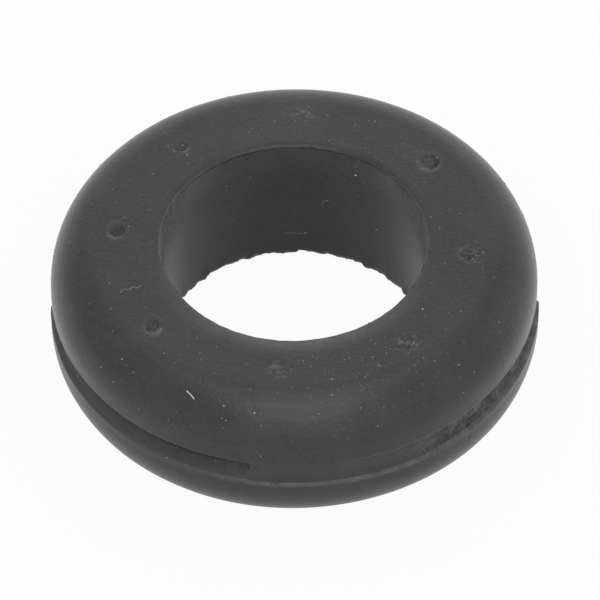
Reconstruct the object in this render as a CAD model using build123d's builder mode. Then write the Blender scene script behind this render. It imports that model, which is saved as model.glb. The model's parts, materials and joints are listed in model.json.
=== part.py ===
from build123d import *
import os

# Rubber cable grommet, moulded in one piece: a ring with a broad rounded flange on each side
# of a narrow groove, which grips the edge of a panel.
# Millimetres, with +Z along the bore and the origin on its axis, in the middle of the groove.

# Driving dimensions
overall_diameter = 22.0
overall_thickness = 7.1
bore_diameter = 12.0
groove_diameter = 16.0
groove_width = 0.96

# Shape of each flange
side_height = 0.62
edge_reach = 2.05
bore_edge_radius = 0.32
groove_lip_chamfer = 0.1

# Craters that the injection gates left in the upper face
gate_count = 8
gate_first_angle = -6.5
gate_place_on_face = 0.63
crater_radius = 0.22
crater_depth = 0.12

# Mould flash, on the front half alone, where one half of the split mould closed badly: a film
# in the groove's mouth, deeper in over the left part, and a lower flange that stands out a little
front_sweep = 180.0
front_last_angle = 0.0
film_sweep = 101.0
film_thickness = 0.15
film_setback = 0.22
deep_film_setback = 0.45
film_root = 0.1
flange_step = 0.07

# Radii and heights that follow from these
outer_radius = overall_diameter / 2
bore_radius = bore_diameter / 2
groove_radius = groove_diameter / 2
face_height = overall_thickness / 2
groove_height = groove_width / 2

# The straight side stands beside the groove, and the rounding takes the rest of the flange
side_top = groove_height + side_height
edge_drop = face_height - side_top
face_inner_radius = bore_radius + bore_edge_radius
face_outer_radius = outer_radius - edge_reach
face_width = face_outer_radius - face_inner_radius

# A gate sits a share of the way across the flat face, so it stays on the face at any size
gate_circle_radius = face_inner_radius + gate_place_on_face * face_width

with BuildPart() as grommet:
    # The ring: half of its section, from the bore out and round into the groove, then the mirror
    # image of that half, turned about the bore
    with BuildSketch(Plane.XZ):
        with BuildLine():
            bore_wall = Line((bore_radius, 0), (bore_radius, face_height - bore_edge_radius))
            bore_edge = RadiusArc(bore_wall @ 1, (face_inner_radius, face_height), bore_edge_radius)
            Line(bore_edge @ 1, (face_outer_radius, face_height))
            edge = EllipticalCenterArc(
                (face_outer_radius, side_top), edge_reach, edge_drop, start_angle=90, arc_size=-90
            )
            Polyline(
                edge @ 1,
                (outer_radius, groove_height + groove_lip_chamfer),
                (outer_radius - groove_lip_chamfer, groove_height),
                (groove_radius, groove_height),
                (groove_radius, 0),
            )
            mirror(about=Plane.XZ)
        make_face()
    revolve(axis=Axis.Z)

    # The film, in two lengths that turn about the bore up to their last angles
    for sweep, last_angle, setback in (
        (film_sweep, front_last_angle, film_setback),
        (front_sweep - film_sweep, front_last_angle - film_sweep, deep_film_setback),
    ):
        with BuildSketch(Plane.XZ.rotated((0, 0, last_angle - sweep))):
            with Locations((outer_radius - setback - film_thickness / 2, 0)):
                Rectangle(film_thickness, groove_width + 2 * film_root)
        revolve(axis=Axis.Z, revolution_arc=sweep)

    # The front half of the lower flange: its own outline again, moved out by the step
    with BuildSketch(Plane.XZ.rotated((0, 0, front_last_angle - front_sweep))):
        with BuildLine():
            stepped_edge = EllipticalCenterArc(
                (face_outer_radius + flange_step, -side_top),
                edge_reach,
                edge_drop,
                start_angle=-90,
                arc_size=90,
            )
            Polyline(
                stepped_edge @ 1,
                (outer_radius + flange_step, -groove_height - groove_lip_chamfer),
                (outer_radius + flange_step - groove_lip_chamfer, -groove_height),
                (face_outer_radius, -groove_height),
                (face_outer_radius, -face_height),
                stepped_edge @ 0,
            )
        make_face()
    revolve(axis=Axis.Z, revolution_arc=front_sweep)

    # The gate craters, in a circle on the upper face
    with Locations((0, 0, face_height)):
        with PolarLocations(gate_circle_radius, gate_count, gate_first_angle):
            Hole(crater_radius, crater_depth)

grommet.part.label = "grommet"
os.makedirs("parts", exist_ok=True)
export_step(grommet.part, "parts/grommet.step")
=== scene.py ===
"""A rubber cable grommet, moulded in one piece, lying on a plain white table.

The moulding is one closed mesh of rings about the bore. Each ring is one point of the section, and
it has more points where the real part has fine detail: the ragged rims of the bore, the marks of
the injection gates, and the mould flash in the mouth of the groove. Sizes are in millimetres until
a mesh is written, which is in metres, as the frame is.
"""

import json
import logging
import math
from dataclasses import dataclass, field
from enum import Enum, auto
from typing import Any

import bpy
import numpy as np
from mathutils import Euler, Matrix, Vector
from mathutils.bvhtree import BVHTree


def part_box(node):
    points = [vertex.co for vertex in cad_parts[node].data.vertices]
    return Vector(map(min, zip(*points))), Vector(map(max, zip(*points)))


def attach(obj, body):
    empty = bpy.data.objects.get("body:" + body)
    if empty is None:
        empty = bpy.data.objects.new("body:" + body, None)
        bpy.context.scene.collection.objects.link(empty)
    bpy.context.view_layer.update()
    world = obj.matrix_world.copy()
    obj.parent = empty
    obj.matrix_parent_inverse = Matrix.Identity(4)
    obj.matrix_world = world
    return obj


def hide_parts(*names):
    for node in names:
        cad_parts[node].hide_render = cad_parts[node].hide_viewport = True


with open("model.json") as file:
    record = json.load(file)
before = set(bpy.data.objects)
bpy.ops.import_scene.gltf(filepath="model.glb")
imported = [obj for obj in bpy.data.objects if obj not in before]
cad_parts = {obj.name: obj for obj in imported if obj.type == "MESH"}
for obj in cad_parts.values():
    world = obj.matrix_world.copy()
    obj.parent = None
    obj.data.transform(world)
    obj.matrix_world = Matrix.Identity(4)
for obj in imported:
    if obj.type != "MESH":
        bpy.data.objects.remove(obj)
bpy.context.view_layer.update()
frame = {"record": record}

MM = 0.001
BODY = "root"
NODE = "grommet"
IMAGE_SIZE = 600

# How far the front half of the lower flange stands out in the CAD model, in millimetres
FLANGE_STEP = 0.07

# Angles closer than this, in degrees, are one and the same
SAME_ANGLE = 1e-6

log = logging.getLogger("grommet")


# Small tools

def linear(code: str) -> tuple[float, float, float, float]:
    """Turns an sRGB colour into the linear one that the shaders take.

    Args:
        code: The colour as "#rrggbb".

    Returns:
        Linear red, green, blue, and an alpha of 1.
    """
    parts = [int(code[i:i + 2], 16) / 255 for i in (1, 3, 5)]
    red, green, blue = (c / 12.92 if c <= 0.04045 else ((c + 0.055) / 1.055) ** 2.4 for c in parts)
    return red, green, blue, 1.0


def add_node(tree: bpy.types.NodeTree, kind: str, inputs: dict[Any, Any] | None = None,
             **settings: Any) -> bpy.types.Node:
    """Adds a node to a tree, with its settings and whatever feeds it.

    Args:
        tree: The shader or geometry tree.
        kind: The node's type, such as "ShaderNodeBump".
        inputs: A value or an output socket for each input, by the input's name or number.
        **settings: The node's own properties.

    Returns:
        The new node.
    """
    node = tree.nodes.new(kind)
    for name, value in settings.items():
        setattr(node, name, value)
    for key, value in (inputs or {}).items():
        if isinstance(value, bpy.types.NodeSocket):
            tree.links.new(value, node.inputs[key])
        else:
            node.inputs[key].default_value = value
    return node


def empty_tree(owner: bpy.types.Material | bpy.types.World) -> bpy.types.NodeTree:
    """Gives a material or a world a shader tree with nothing in it.

    Args:
        owner: The material or the world.

    Returns:
        The tree.
    """
    owner.use_nodes = True
    owner.node_tree.nodes.clear()
    return owner.node_tree


def add_object(name: str, data: bpy.types.ID) -> bpy.types.Object:
    """Puts a mesh, a lamp or a camera into the scene as an object at the origin.

    Args:
        name: The object's name.
        data: What it holds.

    Returns:
        The object.
    """
    added = bpy.data.objects.new(name, data)
    bpy.context.scene.collection.objects.link(added)
    return added


def smooth_step(value: np.ndarray, low: float, high: float) -> np.ndarray:
    """Rises smoothly from 0 at low to 1 at high."""
    share = np.clip((value - low) / (high - low), 0, 1)
    return share * share * (3 - 2 * share)


def hump(value: np.ndarray, centre: float, width: float) -> np.ndarray:
    """A bell of height 1 at centre, which has all but gone at twice width from it."""
    return np.exp(-(((value - centre) / width) ** 2))


@dataclass(frozen=True)
class Unevenness:
    """Smooth random relief that fills space and is the same on each run.

    Attributes:
        seed: Fixes the random values.
        grain: Distance between the random values, in millimetres.
        cells: Random values along each side before they repeat.
    """

    seed: int
    grain: float
    cells: int = 48

    def at(self, points: np.ndarray) -> np.ndarray:
        """Reads the relief.

        Args:
            points: Places in millimetres, one a row.

        Returns:
            A value from -1 to 1 for each place.
        """
        lattice = np.random.default_rng(self.seed).uniform(-1, 1, (self.cells,) * 3)
        scaled = points / self.grain
        low = np.floor(scaled).astype(int)
        part = scaled - low
        blend = part * part * (3 - 2 * part)
        total = np.zeros(len(points))
        for corner in np.ndindex(2, 2, 2):
            weight = np.prod(np.where(corner, blend, 1 - blend), axis=1)
            x, y, z = ((low + corner) % self.cells).T
            total += weight * lattice[x, y, z]
        return total


# The section of the moulding

class Stretch(Enum):
    """The stretches of the section, named for the surfaces that they sweep out."""

    BORE = auto()
    BORE_EDGE = auto()
    FACE = auto()
    ROUND = auto()
    SIDE = auto()
    LIP = auto()
    GROOVE_WALL = auto()
    GROOVE_FLOOR = auto()


# How many points each stretch of the upper half has, apart from the face
STEPS = {
    Stretch.BORE: 5, Stretch.BORE_EDGE: 10, Stretch.ROUND: 18, Stretch.SIDE: 5, Stretch.LIP: 5,
    Stretch.GROOVE_WALL: 5, Stretch.GROOVE_FLOOR: 10,
}


@dataclass(frozen=True)
class SectionPoint:
    """One point of the section, which becomes one ring of the mesh.

    Attributes:
        stretch: The stretch that it lies on.
        share: How far along the stretch it is, counted from the bore towards the groove.
        radius: Distance from the bore's axis.
        height: Height above the middle of the groove.
        out: The outward normal's radial part.
        up: The outward normal's vertical part.
    """

    stretch: Stretch
    share: float
    radius: float
    height: float
    out: float
    up: float

    def mirrored(self) -> "SectionPoint":
        """The same point of the lower half."""
        return SectionPoint(self.stretch, self.share, self.radius, -self.height, self.out, -self.up)


@dataclass(frozen=True)
class Section:
    """The section of the grommet, with its sizes in millimetres.

    The first five sizes come from the frame, and the rest are what the photograph shows.

    Attributes:
        outer_radius: Radius of the flanges.
        bore_radius: Radius of the bore.
        groove_radius: Radius of the groove's floor.
        groove_height: Half the groove's width.
        face_height: Height of the flat face above the middle of the groove.
        edge_reach: How far inwards a flange's rounding reaches.
        side_height: Height of a flange's straight side.
        bore_edge_radius: Radius of the rounding of the bore's edges.
        lip_radius: Radius of the rounding of the groove's lips.
        beside_bore: Radii of the upper face's points between the bore and the gate marks.
        gate_band: Radii between which the gate marks lie.
        band_step: Distance between the points there.
        lower_face: Radii of the lower face's points.
    """

    outer_radius: float
    bore_radius: float
    groove_radius: float
    groove_height: float
    face_height: float
    edge_reach: float = 2.05
    side_height: float = 0.62
    bore_edge_radius: float = 0.4
    lip_radius: float = 0.13
    beside_bore: tuple[float, ...] = (6.5, 6.62, 6.8, 7.0)
    gate_band: tuple[float, float] = (7.25, 8.85)
    band_step: float = 0.042
    lower_face: tuple[float, ...] = (7.0, 7.8, 8.5)

    @classmethod
    def from_frame(cls, step_height: float) -> "Section":
        """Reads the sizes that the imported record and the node's box give.

        Args:
            step_height: How far the front half of the lower flange stands out.

        Returns:
            The section.
        """
        mounts = {mount["name"]: mount for mount in frame["record"]["mounts"]}
        low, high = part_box(NODE)
        return cls(
            outer_radius=high.x / MM - step_height,
            bore_radius=mounts["cable_bore"]["dims"]["r_mm"],
            groove_radius=mounts["panel_groove"]["dims"]["r_mm"],
            groove_height=mounts["panel_groove"]["dims"]["length_mm"] / 2,
            face_height=-low.z / MM,
        )

    @property
    def side_top(self) -> float:
        """Height at which the side of the upper flange turns into its rounding."""
        return self.groove_height + self.side_height

    @property
    def upper_corner(self) -> tuple[float, float]:
        """Radius and height of the middle of the upper bore edge's rounding."""
        return self.bore_radius + self.bore_edge_radius, self.face_height - self.bore_edge_radius

    def half(self, face: list[float]) -> list[SectionPoint]:
        """The upper half of the section, from the middle of the bore to the middle of the groove.

        Args:
            face: Radii of the points on the flat face.

        Returns:
            The points in order.
        """
        radius, height = self.bore_radius, self.face_height
        face_start, edge_start = self.upper_corner
        face_end = self.outer_radius - self.edge_reach
        lip_centre = (self.outer_radius - self.lip_radius, self.groove_height + self.lip_radius)
        wall_end = (self.groove_radius, self.groove_height)
        return [
            *self._line(Stretch.BORE, (radius, 0), (radius, edge_start), (-1, 0)),
            *self._arc(Stretch.BORE_EDGE, (face_start, edge_start), (self.bore_edge_radius,) * 2, (180, 90)),
            *(SectionPoint(Stretch.FACE, (r - face_start) / (face_end - face_start), r, height, 0, 1)
              for r in [face_start, *face]),
            *self._arc(Stretch.ROUND, (face_end, self.side_top), (self.edge_reach, height - self.side_top),
                       (90, 0)),
            *self._line(Stretch.SIDE, (self.outer_radius, self.side_top),
                        (self.outer_radius, lip_centre[1]), (1, 0)),
            *self._arc(Stretch.LIP, lip_centre, (self.lip_radius,) * 2, (0, -90)),
            *self._line(Stretch.GROOVE_WALL, (lip_centre[0], self.groove_height), wall_end, (0, -1)),
            *self._line(Stretch.GROOVE_FLOOR, wall_end, (self.groove_radius, 0), (1, 0)),
        ]

    def loop(self) -> list[SectionPoint]:
        """The whole section as a closed loop.

        Returns:
            The upper half's points, then the lower half's in the opposite order.
        """
        first, last = self.gate_band
        upper = self.half([*self.beside_bore, *np.arange(first, last, self.band_step), last])
        lower = [point.mirrored() for point in reversed(self.half([*self.lower_face])[1:])]
        middle = SectionPoint(Stretch.GROOVE_FLOOR, 1, self.groove_radius, 0, 1, 0)
        return [*upper, middle, *lower]

    @staticmethod
    def _line(stretch: Stretch, start: tuple[float, float], end: tuple[float, float],
              normal: tuple[float, float]) -> list[SectionPoint]:
        """Points along a straight stretch, without its end.

        Args:
            stretch: The stretch.
            start: Radius and height where it starts.
            end: Radius and height where it ends.
            normal: The outward normal's radial and vertical parts.

        Returns:
            The points in order.
        """
        return [
            SectionPoint(stretch, share, start[0] + share * (end[0] - start[0]),
                         start[1] + share * (end[1] - start[1]), *normal)
            for share in np.arange(STEPS[stretch]) / STEPS[stretch]
        ]

    @staticmethod
    def _arc(stretch: Stretch, centre: tuple[float, float], sizes: tuple[float, float],
             turn: tuple[float, float]) -> list[SectionPoint]:
        """Points along an arc of an ellipse, without its end.

        Args:
            stretch: The stretch.
            centre: Radius and height of the ellipse's middle.
            sizes: Its radial and its vertical half axis.
            turn: The first angle and the last, in degrees.

        Returns:
            The points in order.
        """
        found = []
        for share in np.arange(STEPS[stretch]) / STEPS[stretch]:
            angle = math.radians(turn[0] + share * (turn[1] - turn[0]))
            out, up = math.cos(angle) / sizes[0], math.sin(angle) / sizes[1]
            length = math.hypot(out, up)
            found.append(SectionPoint(stretch, share, centre[0] + sizes[0] * math.cos(angle),
                                      centre[1] + sizes[1] * math.sin(angle), out / length, up / length))
        return found


@dataclass
class Ring:
    """One ring of the mesh, about the bore's axis.

    Attributes:
        point: The point of the section that it sweeps.
        angles: Where its own points are, in degrees from -180 to 180, 0 towards +X.
        radius: Distance of each point from the axis, which the details change.
        height: Height of each point, which the details change.
        scuff: How much lighter each point is, from 0 to 1: real scuffs and tears, and painted highlights and
            sheen.
    """

    point: SectionPoint
    angles: np.ndarray
    radius: np.ndarray = field(init=False)
    height: np.ndarray = field(init=False)
    scuff: np.ndarray = field(init=False)

    def __post_init__(self) -> None:
        """Starts every point on the plain section."""
        self.radius = np.full(len(self.angles), float(self.point.radius))
        self.height = np.full(len(self.angles), float(self.point.height))
        self.scuff = np.zeros(len(self.angles))

    @property
    def places(self) -> np.ndarray:
        """The points in space, in millimetres."""
        turn = np.radians(self.angles)
        return np.stack([self.radius * np.cos(turn), self.radius * np.sin(turn), self.height], axis=1)

    @property
    def flat(self) -> np.ndarray:
        """The points laid out flat: angle in radians, radius and height in metres."""
        return np.stack([np.radians(self.angles), self.radius * MM, self.height * MM], axis=1)

    def push(self, distance: np.ndarray) -> None:
        """Moves each point outwards along the section's normal."""
        self.radius += distance * self.point.out
        self.height += distance * self.point.up

    def lighten(self, amount: np.ndarray) -> None:
        """Lightens each point by an amount, up to 1, for a real scuff and for painted light."""
        self.scuff = np.clip(self.scuff + amount, 0, 1)


# Details of the moulding, each of which moves the rings' points

@dataclass(frozen=True)
class Slackness:
    """The faint waviness that soft rubber keeps after it leaves the mould.

    Attributes:
        height: Height of the waves.
        waves: Their form.
    """

    height: float = 0.012
    waves: Unevenness = Unevenness(seed=3, grain=3.2)

    def shape(self, ring: Ring) -> None:
        """Moves a ring's points a little along the normal."""
        ring.push(self.height * self.waves.at(ring.places))


@dataclass(frozen=True)
class PaintedFrontBackHighlight:
    """A painted highlight: the front and back of both flanges are a little lighter in colour, which is all
    but gone at the sides.

    Attributes:
        wear: How much lighter the front and back are painted, as a highlight.
    """

    wear: float = 0.055

    def shape(self, ring: Ring) -> None:
        """Paints the highlight on the points of a ring on the outside of a flange.

        Args:
            ring: The ring.
        """
        point = ring.point
        lower_side = point.height < 0 and point.stretch in (Stretch.SIDE, Stretch.LIP)
        if lower_side or point.stretch in (Stretch.FACE, Stretch.ROUND):
            # Painted highlight: lighter colour towards the front and back, and none at the sides
            ring.lighten(self.wear * np.sin(np.radians(ring.angles)) ** 2)


@dataclass(frozen=True)
class RaggedRim:
    """The trimmed rims of the bore, where the flash was torn off and nibs were left, with painted highlight
    and sheen.

    Attributes:
        corner: Radius and height of the middle of the upper edge's rounding.
        upper_height: How far the largest nibs of the upper rim stand out.
        lower_height: The same for the lower rim, which was trimmed less well.
        lean: How much more the nibs stand out than the nicks go in.
        spread: How far the nibs spread to each side of the edge's middle, as a share of the edge.
        front: Angle of the front that has the painted highlight, and how far it spreads.
        painted_rim_highlight: How much lighter the front of the upper face is painted beside the rim, as a
            highlight.
        painted_bore_sheen: How much lighter the left and right of the bore are painted below it, as sheen.
        least_painted_share: The share of that painted sheen at the front and back.
        face_reach: How far the painted highlight reaches over the face.
        bore_reach: How far the painted sheen reaches down the bore.
        face_tilts: Upward parts of the normal between which the painted highlight on the face sets in.
        bore_tilts: Those between which the painted sheen in the bore ends.
        even_share: How much of the painted light is the same all along.
        patchy_share: How much of it comes and goes with the nibs.
        nib_wear: How much the lower rim's nibs are rubbed.
        sharper: How much smaller the upper edge's rounding is away from the front.
        nibs: Places the nibs and nicks.
        tears: Roughens them.
    """

    corner: tuple[float, float]
    upper_height: float = 0.02
    lower_height: float = 0.12
    lean: float = 0.35
    spread: float = 0.33
    front: tuple[float, float] = (-90, 50)
    painted_rim_highlight: float = 0.4
    painted_bore_sheen: float = 0.95
    least_painted_share: float = 0.17
    face_reach: float = 0.4
    bore_reach: float = 0.9
    face_tilts: tuple[float, float] = (0.4, 0.8)
    bore_tilts: tuple[float, float] = (0.5, 0.98)
    even_share: float = 0.85
    patchy_share: float = 0.4
    nib_wear: float = 0.4
    sharper: float = 0.22
    nibs: Unevenness = Unevenness(seed=11, grain=0.34)
    tears: Unevenness = Unevenness(seed=12, grain=0.13)

    def shape(self, ring: Ring) -> None:
        """Moves the points of a ring on the edge of the bore, and paints highlight and sheen on the ones
        near it.

        Args:
            ring: The ring.
        """
        point = ring.point
        if point.stretch not in (Stretch.BORE, Stretch.BORE_EDGE, Stretch.FACE):
            return
        places, share = ring.places, np.array(point.share)
        waves = 0.7 * self.nibs.at(places) + 0.35 * self.tears.at(places)
        front = hump(ring.angles, *self.front)
        if point.height > 0:
            # Painted highlight on the front of the face beside the rim, and painted sheen on the bore's left
            # and right below it, broken up by the nibs
            ring.lighten(self._painted_lightness(ring, front) * (self.even_share + self.patchy_share * waves))
        if point.stretch is not Stretch.BORE_EDGE:
            return
        if point.height > 0:
            ring.radius -= self.sharper * (1 - front) * (1 + point.out)
            ring.height += self.sharper * (1 - front) * (1 - point.up)
        height = self.upper_height if point.height > 0 else self.lower_height
        ring.push(height * (waves + self.lean) * hump(share, 0.5, self.spread))
        if point.height < 0:
            ring.lighten(self.nib_wear * np.clip(waves, 0, 1) * math.sin(math.pi * point.share))

    def _painted_lightness(self, ring: Ring, front: np.ndarray) -> np.ndarray:
        """How much lighter the points beside and below the upper rim are painted, as highlight and sheen.

        Args:
            ring: The ring.
            front: How much each point belongs to the worn front.

        Returns:
            The amount for each point.
        """
        point, up = ring.point, np.array(ring.point.up)
        beside = max(0, point.radius - self.corner[0]) / self.face_reach
        below = max(0, self.corner[1] - point.height) / self.bore_reach
        on_face = math.exp(-(beside**2)) * smooth_step(up, *self.face_tilts)
        on_bore = math.exp(-(below**2)) * (1 - smooth_step(up, *self.bore_tilts))
        # The painted sheen in the bore is strongest at the left and right
        sides = self.least_painted_share + (1 - self.least_painted_share) * np.cos(np.radians(ring.angles)) ** 4
        return self.painted_rim_highlight * on_face * front + self.painted_bore_sheen * on_bore * sides


@dataclass(frozen=True)
class MouldStep:
    """The front half of the lower flange, which stands out a little all along.

    The split mould closed badly there. It leaves a ridge along the lip, a step at each end, and one
    nib just past the right end.

    Attributes:
        height: How far the flange stands out.
        level: Height of the ridge.
        width: How far it spreads above and below that.
        first: Angle at which the step starts.
        last: Angle at which it ends.
        starts: Depths below the middle of the groove between which it sets in.
        fades: Depths between which it fades towards the lower face.
        plain: How far the flange stands out away from the ridge, against the ridge itself.
        turns: Angles between which the step grows towards the right.
        growth: How much it grows there, as a share.
        uneven: How uneven the ridge is.
        sunk: The unevenness below which the ridge lies deeper than the step.
        nib: Angle of the nib.
        nib_width: Its width in degrees.
        nib_height: How far it stands out.
        ridge_highlight: Angles between which the painted highlight of the ridge sets in.
        least_painted_share: The share of that painted highlight to the left of them.
        even_share: How much of the painted highlight is the same all along.
        patchy_share: How much of it comes and goes with the unevenness.
        breaks: Varies the ridge.
        chips: Chips it.
    """

    height: float
    level: float = -0.53
    width: float = 0.15
    first: float = -180.6
    last: float = -0.4
    starts: tuple[float, float] = (0.45, 0.6)
    fades: tuple[float, float] = (2.9, 3.5)
    plain: float = 0.8
    turns: tuple[float, float] = (-85, -45)
    growth: float = 0.5
    uneven: float = 0.02
    sunk: float = 0.4
    nib: float = 2.9
    nib_width: float = 0.45
    nib_height: float = 0.06
    ridge_highlight: tuple[float, float] = (-125, -95)
    least_painted_share: float = 0.2
    even_share: float = 0.24
    patchy_share: float = 0.3
    breaks: Unevenness = Unevenness(seed=21, grain=0.45)
    chips: Unevenness = Unevenness(seed=22, grain=0.16)

    def shape(self, ring: Ring) -> None:
        """Moves the points of a ring of the lower flange outwards, and paints a highlight on its ridge.

        Args:
            ring: The ring.
        """
        point, angles, depth = ring.point, ring.angles, np.array(-ring.point.height)
        if point.height > 0 or point.stretch not in (Stretch.LIP, Stretch.SIDE, Stretch.ROUND):
            return
        places = ring.places
        waves = 0.6 * self.breaks.at(places) + 0.4 * self.chips.at(places)
        ridge = hump(-depth, self.level, self.width)
        grown = smooth_step(depth, *self.starts) * (self.plain + (1 - self.plain) * ridge)
        grown = grown * (1 - smooth_step(depth, *self.fades))
        grown = grown * (1 + self.growth * smooth_step(angles, *self.turns))
        front = (angles > self.first) & (angles < self.last)
        ring.radius += np.where(front, self.height * grown + self.uneven * ridge * (waves - self.sunk), 0)
        ring.radius += self.nib_height * ridge * hump(angles, self.nib, self.nib_width)
        # Painted highlight: the ridge along the lip is made lighter, more so towards the right
        ridge_highlight = self.least_painted_share + (1 - self.least_painted_share) * smooth_step(angles, *self.ridge_highlight)
        patchy = np.clip(self.even_share + self.patchy_share * waves, 0, 1)
        ring.lighten(np.where(front, ridge * ridge_highlight * patchy, 0))


@dataclass(frozen=True)
class FlashLength:
    """A length of the flash in the groove's mouth.

    Attributes:
        first: Angle at which it starts.
        upper: How far its upper edge lies behind the flanges there.
        lower: How far its lower edge lies behind them.
        torn: How rough it is, from 0 to 1.
        slit: Depth of the open slit above it, under the upper lip.
    """

    first: float
    upper: float
    lower: float
    torn: float
    slit: float = 0


@dataclass(frozen=True)
class MouthFlash:
    """The mould flash that closes the mouth of the groove along the front half.

    On the left it slopes out to the lower lip from an open slit under the upper one. In the middle it
    is flush, and on the right it is torn.

    Attributes:
        outer_radius: Radius of the flanges.
        groove_height: Half the groove's width.
        lip_radius: Radius of the rounding of the groove's lips.
        lengths: Its lengths, from left to right.
        first: Angle at which it starts.
        last: Angle at which it ends.
        end_width: How many degrees each of its ends takes.
        wall_share: The share of half the mouth that the groove's wall takes up.
        slope: Shares of the way up between which it slopes to its upper edge.
        slit_start: Share of the way up at which the slit begins.
        fold_height: Height of its folds.
        tear_height: How rough the torn part is.
        pit_depth: Depth of the torn part's pits.
        pit_grain: Size of the tears against that of the pits.
        pit_level: How deep a tear has to be to hold a pit.
        seam: Angles between which the slit ends and the flush middle sets in.
        tear_start: Angles between which the middle turns into the torn part.
        lighter_middle: How much lighter in colour the flush middle is made.
        lighter_left: How much lighter in colour the lower edge to the left of it is made.
        worn_torn: The most that the torn part is rubbed, on what stands out.
        folds: Its folds.
        tears: Tears it.
        crumbs: Roughens the tears.
    """

    outer_radius: float
    groove_height: float
    lip_radius: float
    lengths: tuple[FlashLength, ...] = (
        FlashLength(-181, 0.6, 0.3, 0.5),
        FlashLength(-170, 0.4, 0.15, 0.3, 0.5),
        FlashLength(-158, 0.35, 0.1, 0.05, 1.2),
        FlashLength(-135, 0.3, 0.02, 0, 0.85),
        FlashLength(-116, 0.22, -0.03, 0, 0.7),
        FlashLength(-104, 0.15, -0.05, 0, 0.55),
        FlashLength(-101.8, 0.08, -0.05, 0, 0.3),
        FlashLength(-100.9, 0, -0.06, 0),
        FlashLength(-75, 0, -0.07, 0.05),
        FlashLength(-60, 0.02, -0.06, 0.2),
        FlashLength(-54, 0.12, 0.02, 0.8),
        FlashLength(-30, 0.24, 0.1, 1.0),
        FlashLength(-8, 0.24, 0.14, 1.0),
        FlashLength(1, 0.3, 0.25, 1.0),
    )
    first: float = -180.4
    last: float = -0.4
    end_width: float = 0.9
    wall_share: float = 0.08
    slope: tuple[float, float] = (-0.15, 0.4)
    slit_start: float = 0.25
    fold_height: float = 0.02
    tear_height: float = 0.09
    pit_depth: float = 0.3
    pit_grain: float = 0.55
    pit_level: float = 0.35
    seam: tuple[float, float] = (-101.5, -100.5)
    tear_start: tuple[float, float] = (-60, -52)
    lighter_middle: float = 0.05
    lighter_left: float = 0.12
    worn_torn: float = 0.2
    folds: Unevenness = Unevenness(seed=31, grain=1.1)
    tears: Unevenness = Unevenness(seed=32, grain=0.3)
    crumbs: Unevenness = Unevenness(seed=33, grain=0.12)

    def shape(self, ring: Ring) -> None:
        """Brings the points of a ring in the groove's mouth out to the flash.

        Args:
            ring: The ring.
        """
        stretch, angles = ring.point.stretch, ring.angles
        if stretch not in (Stretch.LIP, Stretch.GROOVE_WALL, Stretch.GROOVE_FLOOR):
            return
        across = self._across(ring.point)
        share_up = np.array((1 + across) / 2)
        turn = np.radians(angles)
        level = np.full(len(turn), across * self.groove_height)
        mouth = np.stack([self.outer_radius * np.cos(turn), self.outer_radius * np.sin(turn), level], axis=1)
        firsts = [length.first for length in self.lengths]
        upper, lower, torn, slit = (
            np.interp(angles, firsts, [getattr(length, name) for length in self.lengths])
            for name in ("upper", "lower", "torn", "slit")
        )
        tears, crumbs = self.tears.at(mouth), self.crumbs.at(mouth)
        pits = np.clip(self.tears.at(mouth * self.pit_grain) - self.pit_level, 0, 1) * (1 - across**2)
        setback = lower + (upper - lower) * smooth_step(share_up, *self.slope)
        setback += slit * smooth_step(share_up, self.slit_start, 1) + self.fold_height * self.folds.at(mouth)
        setback += torn * (self.tear_height * (0.6 * tears + 0.4 * crumbs) + self.pit_depth * pits)
        flash = self.outer_radius - setback
        closed = smooth_step(angles, self.first - self.end_width, self.first)
        closed *= 1 - smooth_step(angles, self.last, self.last + self.end_width)
        past_seam = smooth_step(angles, *self.seam)
        ring.lighten(closed * torn * np.clip(0.02 - 0.4 * tears - 0.35 * crumbs, 0, self.worn_torn))
        # The flush middle and the lower edge to its left are made lighter in colour
        ring.lighten(self.lighter_middle * past_seam * (1 - smooth_step(angles, *self.tear_start)))
        ring.lighten(self.lighter_left * closed * (1 - past_seam) * (1 - share_up) ** 1.5)
        if stretch is Stretch.LIP:
            ring.radius += closed * np.clip(flash - ring.radius, 0, None)
            return
        # The walls of the groove stay as far in as the flash
        lip_end = np.maximum(self.outer_radius - self.lip_radius, flash)
        share = ring.point.share if stretch is Stretch.GROOVE_WALL else 1
        ring.radius += closed * (lip_end + (flash - lip_end) * share - ring.radius)
        ring.height += closed * (level - ring.height)

    def _across(self, point: SectionPoint) -> float:
        """Finds where a ring lies across the mouth.

        Args:
            point: The ring's point of the section.

        Returns:
            Its place, from -1 at the lower lip to 1 at the upper one.
        """
        share = 1.0
        if point.stretch is Stretch.GROOVE_WALL:
            share -= self.wall_share * point.share
        elif point.stretch is Stretch.GROOVE_FLOOR:
            share = (1 - self.wall_share) * (1 - point.share)
        return math.copysign(share, point.height)


class Scar(Enum):
    """What an injection gate left behind."""

    CRATER = auto()
    RING = auto()
    DIMPLE = auto()
    TORN = auto()
    TRACE = auto()


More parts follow.
